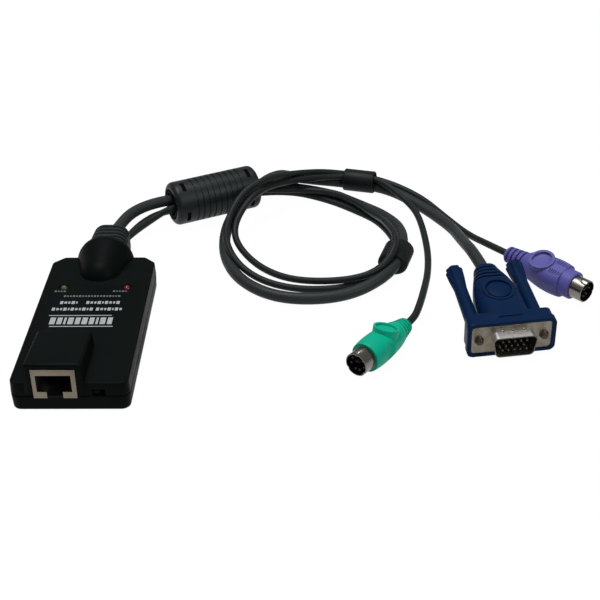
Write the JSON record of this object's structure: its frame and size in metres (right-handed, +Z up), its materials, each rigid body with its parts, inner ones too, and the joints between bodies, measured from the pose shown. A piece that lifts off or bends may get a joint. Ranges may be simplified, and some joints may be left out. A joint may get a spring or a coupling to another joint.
{
  "type": "keyboard video mouse server interface cable",
  "caption": "Flat black housing with a network jack, recessed slide switch and two lamps; three bundled cords run through a choke to video, keyboard and mouse plugs",
  "frame": {"origin": "centre of the housing's flat underside, on the table", "axes": "+X across the housing to its right side, +Y along the housing from the jack to the cords, +Z up out of the lid"},
  "size_m": [0.2237, 0.1821, 0.0217],
  "materials": {
    "shell": "fine satin",
    "screw_steel": "satin",
    "board": "green solder mask",
    "chip": "satin",
    "can_metal": "satin",
    "header": "satin",
    "shield": "matte nickel",
    "contact_gold": "polished",
    "insert": "satin",
    "green_lamp": "clear tinted dome",
    "red_lamp": "clear tinted dome",
    "knob_white": "satin",
    "relief": "satin",
    "nickel": "bright nickel",
    "black_insulator": "satin",
    "vga_blue": "satin",
    "mouse_green": "satin",
    "keyboard_purple": "satin",
    "ferrite": "sintered",
    "cord": "satin"
  },
  "bodies": {
    "root": {"bottom_shell": "shell", "top_shell": "shell", "housing_screws": "screw_steel", "circuit_board": "board", "controller_chip": "chip", "driver_chips": "chip", "crystal_can": "can_metal", "capacitors": "can_metal", "wire_headers": "header", "rj45_shield": "shield", "rj45_contacts": "contact_gold", "rj45_insert": "insert", "switch_case": "insert", "strain_relief": "relief", "vga_shell": "nickel", "vga_pins": "contact_gold", "vga_insulator": "black_insulator", "vga_hood": "vga_blue", "mouse_grip": "mouse_green", "keyboard_grip": "keyboard_purple", "ferrite_core": "ferrite", "ferrite_cover": "cord", "green_lamp": "green_lamp", "red_lamp": "red_lamp", "keyboard_skirt": "nickel", "keyboard_pins": "nickel", "keyboard_insulator": "black_insulator", "mouse_skirt": "nickel", "mouse_pins": "nickel", "mouse_insulator": "black_insulator", "rear_sleeve": "cord", "front_sleeve": "cord", "vga_cord": "cord", "keyboard_cord": "cord", "mouse_cord": "cord"},
    "switch_knob_body": {"switch_knob": "knob_white"},
    "left_thumbscrew": {"left_thumb_knob": "vga_blue", "left_jack_screw": "nickel"},
    "right_thumbscrew": {"right_thumb_knob": "vga_blue", "right_jack_screw": "nickel"}
  },
  "joints": [
    {"name": "switch_slide", "type": "slide", "parent": "root", "child": "switch_knob_body", "axis": [1, 0, 0], "range_m": [0, 0.0022]},
    {"name": "left_thumbscrew_spin", "type": "hinge", "parent": "root", "child": "left_thumbscrew", "pos_m": [0.15008, -0.01157, 0.00804], "axis": [0.1043, -0.9921, -0.0698], "continuous": true},
    {"name": "right_thumbscrew_spin", "type": "hinge", "parent": "root", "child": "right_thumbscrew", "pos_m": [0.17492, -0.00903, 0.00916], "axis": [0.1043, -0.9921, -0.0698], "continuous": true}
  ]
}
